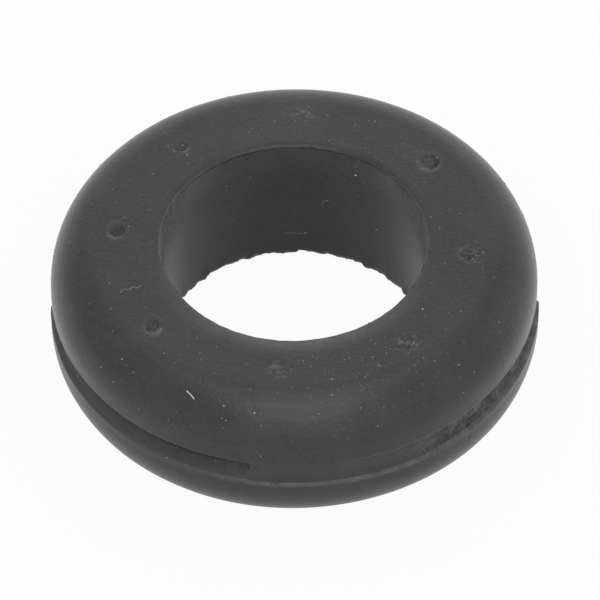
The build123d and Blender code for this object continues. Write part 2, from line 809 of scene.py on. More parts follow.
@dataclass(frozen=True)
class GateMark:
    """The mark of one injection gate in the upper face.

    Attributes:
        angle: Where it is, in degrees about the bore.
        circle: Distance from the bore's axis.
        scar: What kind of mark it is.
        size: Its scale, against a crater of 0.25 mm in radius.
        length: Its size from front to back against that from side to side.
        reach: How far it reaches at a size of 1.
        least_rim: Strength of its rim where it is weakest, against its front.
        breaks: Breaks its rim up.
        chips: Chips it.
        grit: Roughens it.
    """

    angle: float
    circle: float
    scar: Scar
    size: float = 1.0
    length: float = 1.0
    reach: float = 1.2
    least_rim: float = 0.3
    breaks: Unevenness = Unevenness(seed=43, grain=0.4)
    chips: Unevenness = Unevenness(seed=41, grain=0.16)
    grit: Unevenness = Unevenness(seed=42, grain=0.085)

    def shape(self, ring: Ring) -> None:
        """Moves the points of a ring on the upper face up or down, and scuffs them.

        Args:
            ring: The ring.
        """
        if ring.point.stretch is not Stretch.FACE or ring.point.height < 0:
            return
        turn = math.radians(self.angle)
        places = ring.places
        aside = places[:, 0] - self.circle * math.cos(turn)
        behind = places[:, 1] - self.circle * math.sin(turn)
        away = np.hypot(aside, behind / self.length)
        near = away < self.reach * self.size
        if not near.any():
            return
        # The rims were dragged forwards as the gates were torn off, so they are stronger there
        forwards = np.clip(-behind / np.maximum(away, 0.01), 0, 1)
        dragged = self.least_rim + (1 - self.least_rim) * forwards
        relief, scuff = self._form(away / self.size, dragged, places)
        ring.height += np.where(near, relief * self.size, 0)
        ring.lighten(np.where(near, scuff, 0))

    def _form(self, away: np.ndarray, dragged: np.ndarray,
              places: np.ndarray) -> tuple[np.ndarray, np.ndarray]:
        """The form of the mark, with every length in millimetres at a size of 1.

        Args:
            away: Distance of each point from the middle of the mark, at a size of 1.
            dragged: Strength of the rim in the point's direction, from 0 to 1.
            places: The points in space.

        Returns:
            The height of each point above the face, and how much it is scuffed.
        """
        breaks, chips, grit = (relief.at(places) for relief in (self.breaks, self.chips, self.grit))
        rim = hump(away, 0.43, 0.1) * dragged * np.clip(0.7 + 0.9 * breaks, 0, 1.3)
        match self.scar:
            case Scar.CRATER:
                depth, roughness, rim_height, wear = 0.13, 0.05, 0.03, 0.32
                hollow = 1 - smooth_step(away + 0.13 * chips, 0.15, 0.34)
                return rim_height * rim - hollow * (depth - roughness * grit), wear * rim
            case Scar.RING:
                depth, middle_depth, rim_height, wear = 0.11, 0.02, 0.02, 0.25
                trough = hump(away, 0.34, 0.08) * np.clip(0.7 + 0.7 * breaks + 0.6 * chips, 0.1, 1.2)
                outer = hump(away, 0.52, 0.12) * dragged
                sunk = depth * trough + middle_depth * hump(away, 0, 0.3)
                return rim_height * outer - sunk, wear * outer
            case Scar.DIMPLE:
                depth, wear = 0.14, 0.25
                dip = hump(away, 0.15, 0.2) * np.clip(0.5 + 1.2 * breaks, 0, 1.2)
                return -depth * dip, wear * rim
            case Scar.TORN:
                middle_depth, chip_height, grit_height, most_wear = 0.02, 0.09, 0.08, 0.8
                rough = np.clip(1.15 - away / 0.62, 0, 1)
                relief = rough * (chip_height * chips + grit_height * grit)
                wear = np.clip(0.1 + 0.6 * chips + 0.8 * grit, 0, most_wear)
                return relief - middle_depth * hump(away, 0, 0.3), rough * wear
            case _:
                height, wear = 0.06, 0.35
                folds = hump(away, 0.2, 0.25) * np.clip(0.2 + chips, 0, 1)
                return height * folds, wear * folds


# Geometry Nodes

def new_tree(name: str, sockets: dict[str, str]) -> bpy.types.NodeTree:
    """Starts a Geometry Nodes tree.

    Args:
        name: The tree's name.
        sockets: The kind of each input, by its name. The geometry's own input comes first.

    Returns:
        The tree, with a geometry input and output.
    """
    tree = bpy.data.node_groups.new(name, "GeometryNodeTree")
    tree.interface.new_socket("Geometry", in_out="INPUT", socket_type="NodeSocketGeometry")
    for socket, kind in sockets.items():
        tree.interface.new_socket(socket, in_out="INPUT", socket_type=f"NodeSocket{kind}")
    tree.interface.new_socket("Geometry", in_out="OUTPUT", socket_type="NodeSocketGeometry")
    return tree


def finish_tree(tree: bpy.types.NodeTree, result: bpy.types.NodeSocket,
                material: bpy.types.NodeSocket) -> None:
    """Ends a tree: its instances are made real, and it gets its material.

    Args:
        tree: The tree.
        result: The geometry to end with.
        material: The material's socket.
    """
    real = add_node(tree, "GeometryNodeRealizeInstances", {0: result})
    dressed = add_node(tree, "GeometryNodeSetMaterial", {"Geometry": real.outputs[0], "Material": material})
    add_node(tree, "NodeGroupOutput", {0: dressed.outputs[0]})


def run_tree(piece: bpy.types.Object, tree: bpy.types.NodeTree, inputs: dict[str, Any]) -> None:
    """Runs a tree on a piece and keeps the result as the piece's plain mesh.

    Args:
        piece: The piece that the tree works on.
        tree: The Geometry Nodes tree.
        inputs: A value for each of its inputs, by name.
    """
    modifier = piece.modifiers.new(tree.name, "NODES")
    modifier.node_group = tree
    for item in tree.interface.items_tree:
        if item.in_out == "INPUT" and item.name in inputs:
            modifier[item.identifier] = inputs[item.name]
    graph = bpy.context.evaluated_depsgraph_get()
    mesh = bpy.data.meshes.new_from_object(piece.evaluated_get(graph), depsgraph=graph)
    piece.modifiers.remove(modifier)
    piece.data = mesh
    mesh.name = piece.name


def marked_mesh(name: str, points: list[Any], edges: list[Any], faces: list[Any], mark: str,
                values: list[float]) -> bpy.types.Mesh:
    """Makes a mesh with a number on each point, for a tree or a material to read.

    Args:
        name: The mesh's name.
        points: Its points.
        edges: Its loose edges.
        faces: Its faces.
        mark: What the number is called.
        values: The number on each point.

    Returns:
        The mesh.
    """
    mesh = bpy.data.meshes.new(name)
    mesh.from_pydata(points, edges, faces)
    mesh.attributes.new(mark, "FLOAT", "POINT").data.foreach_set("value", values)
    return mesh


@dataclass
class Moulding:
    """The one-piece rubber moulding.

    Attributes:
        section: Its section.
        step_height: How far the front half of the lower flange stands out.
        marks: The marks of the injection gates.
        full_turn: A turn, in the steps that the rings' angles are counted in.
        plain_step: Steps between the points of a plain ring.
        fine_step: Steps between the points where a ring carries the finest detail.
        gate_window: Steps to each side of a gate mark that are fine.
        mouth_windows: First and last angle of the parts of the groove's mouth with finer points, and
            how many fine steps lie between their points.
    """

    section: Section
    step_height: float
    marks: tuple[GateMark, ...] = (
        GateMark(-7.7, 7.96, Scar.TORN, 1.05, 0.85),
        GateMark(37.8, 7.88, Scar.RING, 1.0, 1.15),
        GateMark(86.2, 7.9, Scar.TRACE, 1.1),
        GateMark(129.9, 7.96, Scar.DIMPLE),
        GateMark(174.6, 7.96, Scar.CRATER, 1.1, 1.15),
        GateMark(-140.5, 8.16, Scar.CRATER, 0.95, 1.35),
        GateMark(-94.9, 8.04, Scar.TRACE, 1.2),
        GateMark(-52.3, 8.15, Scar.TORN, 1.05, 0.85),
    )
    full_turn: int = 4320
    plain_step: int = 12
    fine_step: int = 3
    gate_window: int = 60
    mouth_windows: tuple[tuple[int, int, int], ...] = (
        (-180, -150, 1),
        (-150, -60, 2),
        (-102, -100, 1),
        (-60, 4, 1),
    )

    def build(self, finish: bpy.types.Material) -> bpy.types.Object:
        """Builds the closed mesh: its rings laid out flat, which Geometry Nodes turn about the bore.

        Args:
            finish: The rubber's material.

        Returns:
            The object, at the origin.
        """
        details = [
            Slackness(),
            PaintedFrontBackHighlight(),
            RaggedRim(self.section.upper_corner),
            MouthFlash(self.section.outer_radius, self.section.groove_height, self.section.lip_radius),
            MouldStep(self.step_height),
            *self.marks,
        ]
        rings = [Ring(point, self._angles(point)) for point in self.section.loop()]
        for ring in rings:
            for detail in details:
                detail.shape(ring)
            # The lower face lies flat on the table
            ring.height = np.maximum(ring.height, -self.section.face_height)
        # The scuff mark goes with the points: real scuffs and tears, and painted highlights and sheen
        points, scuff_and_light_values = (
            np.concatenate([getattr(ring, name) for ring in rings]).tolist() for name in ("flat", "scuff")
        )
        mesh = marked_mesh("rings", points, [], self._faces(rings), "scuff", scuff_and_light_values)
        piece = add_object("moulding", mesh)
        run_tree(piece, self._turning(), {"Turns": 1.0, "Material": finish})
        return piece

    def _angles(self, point: SectionPoint) -> np.ndarray:
        """Places a ring's points, closer together where it carries fine detail.

        Args:
            point: The ring's point of the section.

        Returns:
            Their angles in degrees, from -180 up.
        """
        half, degree = self.full_turn // 2, self.full_turn // 360
        steps = set(range(0, self.full_turn, self.plain_step))
        if point.stretch is Stretch.BORE_EDGE:
            steps |= set(range(0, self.full_turn, 2 * self.fine_step))
        band_low, band_high = self.section.gate_band
        if point.stretch is Stretch.FACE and point.height > 0 and band_low <= point.radius <= band_high:
            steps = set(range(0, self.full_turn, 2 * self.plain_step))
            for mark in self.marks:
                middle = round((mark.angle * degree + half) / self.fine_step) * self.fine_step
                window = range(middle - self.gate_window, middle + self.gate_window, self.fine_step)
                steps |= {step % self.full_turn for step in window}
        in_mouth = point.stretch in (Stretch.LIP, Stretch.GROOVE_WALL, Stretch.GROOVE_FLOOR)
        if in_mouth or (point.stretch is Stretch.SIDE and point.height < 0):
            for first, last, spacing in self.mouth_windows:
                start, end = half + first * degree, half + last * degree
                steps |= set(range(start, end, spacing * self.fine_step))
        return np.array(sorted(steps)) / degree - 180

    @staticmethod
    def _faces(rings: list[Ring]) -> list[tuple[int, ...]]:
        """Joins each ring to the next, and the last to the first.

        Where both rings have a point at the same angle the face is a quad, and elsewhere a triangle.

        Args:
            rings: The rings in order round the section.

        Returns:
            The faces as numbers of points.
        """
        counts = [len(ring.angles) for ring in rings]
        starts = np.cumsum([0, *counts]).tolist()
        # After its own angles each ring has the end of the turn, and then one that is never reached
        angles = [[*ring.angles.tolist(), 180.0, math.inf] for ring in rings]
        faces: list[tuple[int, ...]] = []
        for index, here in enumerate(angles):
            following = (index + 1) % len(rings)
            there = angles[following]
            a, b = 0, 0
            while a < counts[index] or b < counts[following]:
                at_a, after_a = (starts[index] + step % counts[index] for step in (a, a + 1))
                at_b, after_b = (starts[following] + step % counts[following] for step in (b, b + 1))
                if abs(here[a + 1] - there[b + 1]) < SAME_ANGLE:
                    faces.append((at_a, at_b, after_b, after_a))
                    a, b = a + 1, b + 1
                elif here[a + 1] < there[b + 1]:
                    faces.append((at_a, at_b, after_a))
                    a += 1
                else:
                    faces.append((at_a, at_b, after_b))
                    b += 1
        return faces

    @staticmethod
    def _turning() -> bpy.types.NodeTree:
        """Builds the tree that wraps the flat rings round the bore.

        In them X is the angle, Y the radius and Z the height.

        Returns:
            The tree.
        """
        tree = new_tree("turned_about_bore", {"Turns": "Float", "Material": "Material"})
        given = add_node(tree, "NodeGroupInput")
        position = add_node(tree, "GeometryNodeInputPosition")
        flat = add_node(tree, "ShaderNodeSeparateXYZ", {0: position.outputs[0]})
        angle = add_node(tree, "ShaderNodeMath", {0: flat.outputs["X"], 1: given.outputs["Turns"]},
                         operation="MULTIPLY").outputs[0]
        sides = {}
        for axis, function in (("X", "COSINE"), ("Y", "SINE")):
            share = add_node(tree, "ShaderNodeMath", {0: angle}, operation=function)
            sides[axis] = add_node(tree, "ShaderNodeMath", {0: share.outputs[0], 1: flat.outputs["Y"]},
                                   operation="MULTIPLY").outputs[0]
        place = add_node(tree, "ShaderNodeCombineXYZ", {**sides, "Z": flat.outputs["Z"]})
        turned = add_node(tree, "GeometryNodeSetPosition",
                          {"Geometry": given.outputs["Geometry"], "Position": place.outputs[0]})
        smooth = add_node(tree, "GeometryNodeSetShadeSmooth", {0: turned.outputs[0]})
        finish_tree(tree, smooth.outputs[0], given.outputs["Material"])
        return tree


# Finishes

@dataclass(frozen=True)
class MouldedRubber:
    """Black synthetic rubber, moulded in a lightly blasted tool.

    To the eye it is a very dark grey with a dull gloss, faintly mottled by wax and filler that bloom
    to its surface, paler where it is scuffed, and paler too where highlights and sheen are painted on.

    Attributes:
        dark: Its plain colour.
        bloom: Its colour where the wax and filler are thickest.
        scuffed_and_highlit: Its colour where it is scuffed or torn, and where highlights and sheen are
            painted.
        roughness: How dull its gloss is.
        ior: Its index of refraction.
        sheen: Weight of the haze on its surface.
        sheen_roughness: How far the haze spreads.
        patch_mm: Size of the bloom's patches.
        mottle_mm: Size of the mottling in them.
        bloom_range: Sums of the two between which the bloom sets in.
        grain_mm: Size of the blasted grain, as coarse as it needs to be to show.
        grain_height_mm: Height of that grain.
    """

    dark: str = "#1b1b1c"
    bloom: str = "#2d2d30"
    scuffed_and_highlit: str = "#6f6f70"
    roughness: float = 0.26
    ior: float = 1.5
    sheen: float = 0.04
    sheen_roughness: float = 0.4
    patch_mm: float = 2.6
    mottle_mm: float = 0.22
    bloom_range: tuple[float, float] = (0.7, 1.3)
    grain_mm: float = 0.16
    grain_height_mm: float = 0.018

    def build(self) -> bpy.types.Material:
        """Makes the material.

        Returns:
            The material.
        """
        material = bpy.data.materials.new("moulded_rubber")
        tree = empty_tree(material)
        place = add_node(tree, "ShaderNodeTexCoord").outputs["Object"]
        patches, mottle, grain = (
            add_node(tree, "ShaderNodeTexNoise",
                     {"Vector": place, "Scale": 1 / (size * MM), "Detail": detail}).outputs["Fac"]
            for size, detail in ((self.patch_mm, 3.0), (self.mottle_mm, 2.0), (self.grain_mm, 3.0))
        )
        both = add_node(tree, "ShaderNodeMath", {0: patches, 1: mottle}, operation="ADD")
        low, high = self.bloom_range
        spread = add_node(tree, "ShaderNodeMapRange",
                          {"Value": both.outputs[0], "From Min": low, "From Max": high})
        # The scuff mark lightens the rubber for real scuffs and tears and for painted highlights and sheen
        scuff = add_node(tree, "ShaderNodeAttribute", attribute_name="scuff")
        colour = linear(self.dark)
        for share, over in ((spread.outputs[0], self.bloom), (scuff.outputs["Fac"], self.scuffed_and_highlit)):
            colour = add_node(tree, "ShaderNodeMix", {"Factor": share, "A": colour, "B": linear(over)},
                              data_type="RGBA").outputs[2]
        bump = add_node(tree, "ShaderNodeBump", {"Height": grain, "Distance": self.grain_height_mm * MM})
        shader = add_node(tree, "ShaderNodeBsdfPrincipled",
                          {"Base Color": colour, "Roughness": self.roughness, "IOR": self.ior,
                           "Sheen Weight": self.sheen, "Sheen Roughness": self.sheen_roughness,
                           "Normal": bump.outputs["Normal"]})
        add_node(tree, "ShaderNodeOutputMaterial", {"Surface": shader.outputs["BSDF"]})
        return material


# Loose dirt, crumbs and lint

@dataclass(frozen=True)
class PaleDust:
    """Household dust: pale fibres and flakes, which look quite matt.

    Attributes:
        colour: Its colour.
        roughness: How matt it is.
    """

    colour: str = "#888889"
    roughness: float = 0.9

    def build(self, name: str) -> bpy.types.Material:
        """Makes the material.

        Args:
            name: What it is and what it lies on.

        Returns:
            The material.
        """
        material = bpy.data.materials.new(name)
        tree = empty_tree(material)
        shader = add_node(tree, "ShaderNodeBsdfPrincipled",
                          {"Base Color": linear(self.colour), "Roughness": self.roughness})
        add_node(tree, "ShaderNodeOutputMaterial", {"Surface": shader.outputs["BSDF"]})
        return material


@dataclass(frozen=True)
class Scatter:
    """Grains scattered over the moulding.

    Attributes:
        density: Grains to a square millimetre everywhere.
        patch_density: More of them in the middle of the patch.
        patch: The middle of the patch, in millimetres.
        patch_reach: How far the patch reaches, in millimetres.
        smallest: Radius of the smallest grain, in millimetres.
        largest: Radius of the largest grain.
        lowest_tilt: Least upward part of the normal where grains lie.
        torn_only: Whether they lie only where the scuff mark is, which also holds painted highlights and
            sheen.
        seed: Fixes where they are.
        least_shape: The least that a grain's three sides are against its radius.
        most_shape: The most that they are.
        any_turn: The most that a grain is turned about each axis, in radians.
    """

    density: float
    patch_density: float
    patch: tuple[float, float, float]
    patch_reach: float
    smallest: float
    largest: float
    lowest_tilt: float
    torn_only: bool
    seed: int
    least_shape: tuple[float, float, float] = (0.5, 0.5, 0.4)
    most_shape: tuple[float, float, float] = (1.5, 1.2, 1.0)
    any_turn: tuple[float, float, float] = (6.28, 6.28, 6.28)

    def build(self, name: str, moulding: bpy.types.Object, finish: bpy.types.Material) -> bpy.types.Object:
        """Scatters the grains.

        Args:
            name: The piece's name.
            moulding: What they lie on.
            finish: Their material.

        Returns:
            The grains as one object.
        """
        piece = add_object(name, moulding.data.copy())
        run_tree(piece, self._tree(name), {
            "Density": self.density / MM**2,
            "Patch Density": self.patch_density / MM**2,
            "Patch Centre": [size * MM for size in self.patch],
            "Patch Reach": self.patch_reach * MM,
            "Smallest": self.smallest * MM,
            "Largest": self.largest * MM,
            "Lowest Tilt": self.lowest_tilt,
            "Torn Only": self.torn_only,
            "Seed": self.seed,
            "Material": finish,
        })
        return piece

    def _tree(self, name: str) -> bpy.types.NodeTree:
        """Builds the tree that scatters them.

        Args:
            name: The piece's name.

        Returns:
            The tree.
        """
        tree = new_tree(f"{name}_scatter", {
            "Density": "Float", "Patch Density": "Float", "Patch Centre": "Vector", "Patch Reach": "Float",
            "Smallest": "Float", "Largest": "Float", "Lowest Tilt": "Float", "Torn Only": "Bool",
            "Seed": "Int", "Material": "Material",
        })
        given = add_node(tree, "NodeGroupInput").outputs
        place = add_node(tree, "GeometryNodeInputPosition").outputs[0]
        away = add_node(tree, "ShaderNodeVectorMath", {0: place, 1: given["Patch Centre"]},
                        operation="DISTANCE")
        near = add_node(tree, "ShaderNodeMapRange",
                        {"Value": away.outputs["Value"], "From Min": 0.0, "From Max": given["Patch Reach"],
                         "To Min": 1.0, "To Max": 0.0}, interpolation_type="SMOOTHSTEP")
        density = add_node(tree, "ShaderNodeMath", {0: near.outputs[0], 1: given["Patch Density"],
                                                    2: given["Density"]}, operation="MULTIPLY_ADD")
        normal = add_node(tree, "GeometryNodeInputNormal")
        tilt = add_node(tree, "ShaderNodeSeparateXYZ", {0: normal.outputs[0]})
        upward = add_node(tree, "FunctionNodeCompare", {0: tilt.outputs["Z"], 1: given["Lowest Tilt"]},
                          data_type="FLOAT", operation="GREATER_THAN")
        scuff = add_node(tree, "GeometryNodeInputNamedAttribute", {"Name": "scuff"}, data_type="FLOAT")
        torn = add_node(tree, "GeometryNodeSwitch", {"Switch": given["Torn Only"], "False": 1.0,
                                                     "True": scuff.outputs[0]}, input_type="FLOAT")
        for share in (upward, torn):
            density = add_node(tree, "ShaderNodeMath", {0: density.outputs[0], 1: share.outputs[0]},
                               operation="MULTIPLY")
        points = add_node(tree, "GeometryNodeDistributePointsOnFaces",
                          {"Mesh": given["Geometry"], "Density": density.outputs[0], "Seed": given["Seed"]})
        grain = add_node(tree, "GeometryNodeMeshIcoSphere", {"Radius": 1.0, "Subdivisions": 1})
        share = add_node(tree, "FunctionNodeRandomValue", {"Min": 0.0, "Max": 1.0, "Seed": given["Seed"]},
                         data_type="FLOAT").outputs[1]
        # Most grains are small
        cubed = add_node(tree, "ShaderNodeMath", {0: share, 1: 3.0}, operation="POWER")
        size = add_node(tree, "ShaderNodeMapRange", {"Value": cubed.outputs[0], "To Min": given["Smallest"],
                                                     "To Max": given["Largest"]})
        shape, turn = (
            add_node(tree, "FunctionNodeRandomValue", {"Min": least, "Max": most}, data_type="FLOAT_VECTOR")
            for least, most in ((self.least_shape, self.most_shape), ((0, 0, 0), self.any_turn))
        )
        scale = add_node(tree, "ShaderNodeVectorMath", {0: shape.outputs[0], "Scale": size.outputs[0]},
                         operation="SCALE")
        grains = add_node(tree, "GeometryNodeInstanceOnPoints",
                          {"Points": points.outputs[0], "Instance": grain.outputs[0],
                           "Rotation": turn.outputs[0], "Scale": scale.outputs[0]})
        finish_tree(tree, grains.outputs[0], given["Material"])
        return tree


class Spot(Enum):
    """The brightest specks of dust, each by its pixel in the photograph and its radius in millimetres."""

    FAR_WALL_RIGHT = (356, 175, 0.045)
    FAR_WALL_LEFT = (250, 177, 0.022)
    FAR_WALL_LOW = (376.5, 229.5, 0.028)
    LEFT_WALL = (226, 186, 0.022)
    DIMPLE_EDGE = (187.5, 155, 0.03)
    FRONT_LEFT = (224, 406, 0.026)
    FRONT_LEFT_LOW = (226, 420.5, 0.026)
    FRONT_MIDDLE = (254.5, 413, 0.026)
    ABOVE_SEAM = (261, 456, 0.024)
    FRONT = (332, 379, 0.024)
    FRONT_LOW = (332, 395, 0.028)
    FRONT_RIGHT = (380, 366, 0.026)
    RIGHT_FACE = (422.5, 309.5, 0.028)
    RIGHT_SHOULDER = (499, 322, 0.022)
    LEFT_SHOULDER = (122, 359, 0.024)
    LEFT_SHOULDER_LOW = (101, 367, 0.022)
    FRONT_MARK = (413.5, 343, 0.034)
    FRONT_MARK_LEFT = (389.6, 348.7, 0.018)
    FRONT_MARK_FAR_LEFT = (386.5, 353.3, 0.02)
    FRONT_MARK_RIGHT = (434.5, 361, 0.024)
    RIGHT_MARK = (474.4, 249.3, 0.022)
    RIGHT_MARK_RIGHT = (483, 252.5, 0.02)
    RIGHT_MARK_LOW = (474.8, 262, 0.018)
    RING_RIGHT = (436.8, 157.7, 0.022)
    RING_RIGHT_LOW = (435.5, 161.8, 0.016)
    RING_LEFT = (417.3, 161.8, 0.016)
    LEFT_CRATER = (128.9, 226.6, 0.018)
    FRONT_CRATER = (160.7, 328.6, 0.016)
    BACK_TRACE = (309, 107, 0.017)


class Fibre(Enum):
    """The lint: each fibre's radius in millimetres, and its pixels in the photograph from end to end."""

    LEFT_SHOULDER = (0.024, ((187, 391), (189.5, 393.5), (192, 396), (194.5, 399)))
    FAR_WALL = (0.0045, ((328, 200), (323.5, 201.5), (322, 204.5), (324, 208)))
    LEFT_FACE = (0.0038, ((120, 293), (124, 289), (129, 290), (133, 287), (138, 288), (141, 285)))
    FAR_WALL_LONG = (0.003, ((283, 234), (290, 232.5), (299, 233.5), (307, 232.5)))


@dataclass
class LooseDirt:
    """The dust, lint and rubber crumbs that lie on the moulding.

    Attributes:
        moulding: What they lie on.
        camera: Places the ones that the photograph shows singly.
        patch_pixel: The middle of the dustiest part of the photograph.
        wall_pixel: The middle of the dusty part of the bore's far wall.
        torn_part: The middle of the torn length of the flash, in millimetres.
        speck_lift: How far a speck's middle is off the rubber, in its own radii.
        lint_lift: The same for a fibre.
        lint_steps: How many points a fibre has along its length.
        lint_sides: How many points it has round its section.
    """

    moulding: bpy.types.Object
    camera: "PhotoCamera"
    patch_pixel: tuple[float, float] = (352, 374)
    wall_pixel: tuple[float, float] = (375, 185)
    torn_part: tuple[float, float, float] = (7.5, -8.0, 0.0)
    speck_lift: float = 0.4
    lint_lift: float = 1.2
    lint_steps: int = 18
    lint_sides: int = 6

    def __post_init__(self) -> None:
        """Makes a search tree of the moulding's surface."""
        mesh = self.moulding.data
        self.surface = BVHTree.FromPolygons([vertex.co for vertex in mesh.vertices],
                                            [face.vertices for face in mesh.polygons])

    def build(self, rubber: bpy.types.Material) -> list[bpy.types.Object]:
        """Builds all of it.

        Args:
            rubber: The crumbs' material.

        Returns:
            The pieces.
        """
        dust = PaleDust().build("dust_on_rubber")
        lint = PaleDust("#e6e5e2").build("lint_on_rubber")
        patch, wall = (tuple(self._hit(*pixel)[0] / MM) for pixel in (self.patch_pixel, self.wall_pixel))
        fine = Scatter(density=2.5, patch_density=15, patch=patch, patch_reach=4.2, smallest=0.012,
                       largest=0.045, lowest_tilt=0.2, torn_only=False, seed=5)
        on_wall = Scatter(density=0, patch_density=16, patch=wall, patch_reach=3.6, smallest=0.01,
                          largest=0.04, lowest_tilt=-0.3, torn_only=False, seed=6)
        crumbs = Scatter(density=0, patch_density=110, patch=self.torn_part, patch_reach=9, smallest=0.01,
                         largest=0.04, lowest_tilt=-0.5, torn_only=True, seed=8)
        return [fine.build("dust", self.moulding, dust), on_wall.build("wall_dust", self.moulding, dust),
                self._specks(lint), self._lint(lint), crumbs.build("crumbs", self.moulding, rubber)]

    def _hit(self, u: float, v: float) -> tuple[Vector, Vector]:
        """Where the sight line of a pixel meets the moulding, and the surface's normal there."""
        place, normal, _, _ = self.surface.ray_cast(*self.camera.sight_line(u, v))
        return place, normal

    def _specks(self, finish: bpy.types.Material) -> bpy.types.Object:
        """Builds the brightest specks, in the places that the photograph shows.

        Args:
            finish: Their material.

        Returns:
            The specks as one object.
        """
        places, radii = [], []
        for spot in Spot:
            u, v, radius = spot.value
            place, normal = self._hit(u, v)
            places.append(place + normal * self.speck_lift * radius * MM)
            radii.append(radius * MM)
        piece = add_object("specks", marked_mesh("specks", places, [], [], "size", radii))
        tree = new_tree("grain_on_each_point", {"Seed": "Int", "Material": "Material"})
        given = add_node(tree, "NodeGroupInput").outputs
        grain = add_node(tree, "GeometryNodeMeshIcoSphere", {"Radius": 1.0, "Subdivisions": 1})
        radius = add_node(tree, "GeometryNodeInputNamedAttribute", {"Name": "size"}, data_type="FLOAT")
        shape = add_node(tree, "FunctionNodeRandomValue", {"Min": (0.7, 0.7, 0.5), "Max": (1.4, 1.1, 1.0),
                                                           "Seed": given["Seed"]}, data_type="FLOAT_VECTOR")
        scale = add_node(tree, "ShaderNodeVectorMath", {0: shape.outputs[0], "Scale": radius.outputs[0]},
                         operation="SCALE")
        grains = add_node(tree, "GeometryNodeInstanceOnPoints",
                          {"Points": given["Geometry"], "Instance": grain.outputs[0],
                           "Scale": scale.outputs[0]})
        finish_tree(tree, grains.outputs[0], given["Material"])
        run_tree(piece, tree, {"Seed": 4, "Material": finish})
        return piece

    def _lint(self, finish: bpy.types.Material) -> bpy.types.Object:
        """Builds the lint fibres, which are thin round threads that follow the surface.

        Args:
            finish: Their material.

        Returns:
            The fibres as one object.
        """
        places: list[Vector] = []
        radii: list[float] = []
        joins: list[tuple[int, int]] = []
        for fibre in Fibre:
            radius, path = fibre.value
            first = len(places)
            for u, v in path:
                place, normal = self._hit(u, v)
                places.append(place + normal * self.lint_lift * radius * MM)
                radii.append(radius * MM)
            joins += [(step, step + 1) for step in range(first, len(places) - 1)]
        piece = add_object("lint", marked_mesh("lint", places, joins, [], "size", radii))
        tree = new_tree("thread_along_path", {"Steps": "Int", "Sides": "Int", "Material": "Material"})
        given = add_node(tree, "NodeGroupInput").outputs
        path = add_node(tree, "GeometryNodeMeshToCurve", {0: given["Geometry"]})
        spline = add_node(tree, "GeometryNodeCurveSplineType", {0: path.outputs[0]},
                          spline_type="CATMULL_ROM")
        even = add_node(tree, "GeometryNodeResampleCurve",
                        {"Curve": spline.outputs[0], "Count": given["Steps"]})
        radius = add_node(tree, "GeometryNodeInputNamedAttribute", {"Name": "size"}, data_type="FLOAT")
        round_section = add_node(tree, "GeometryNodeCurvePrimitiveCircle",
                                 {"Resolution": given["Sides"], "Radius": 1.0})
        thread = add_node(tree, "GeometryNodeCurveToMesh",
                          {"Curve": even.outputs[0], "Profile Curve": round_section.outputs[0],
                           "Scale": radius.outputs[0], "Fill Caps": True})
        finish_tree(tree, thread.outputs[0], given["Material"])
        run_tree(piece, tree, {"Steps": self.lint_steps, "Sides": self.lint_sides, "Material": finish})
        return piece


# The table, the light and the camera

@dataclass(frozen=True)
class SoftBox:
    """A square lamp that faces the grommet.

    Attributes:
        name: Where it stands.
        azimuth: Its direction seen from above, in degrees, 0 towards +X.
        elevation: Its height above the table, in degrees.
        power: Its power in watts.
        distance: From the middle of the bore, in metres.
        size: Length of its side, in metres.
    """

    name: str
    azimuth: float
    elevation: float
    power: float
    distance: float = 0.6
    size: float = 0.45

    def build(self) -> None:
        """Puts the lamp in its place."""
        lamp = bpy.data.lights.new(self.name, "AREA")
        lamp.size = self.size
        lamp.energy = self.power
        turn = Euler((0, -math.radians(self.elevation), math.radians(self.azimuth)))
        holder = add_object(self.name, lamp)
        holder.location = turn.to_matrix() @ Vector((self.distance, 0, 0))
        holder.rotation_euler = (-holder.location).to_track_quat("-Z", "Y").to_euler()


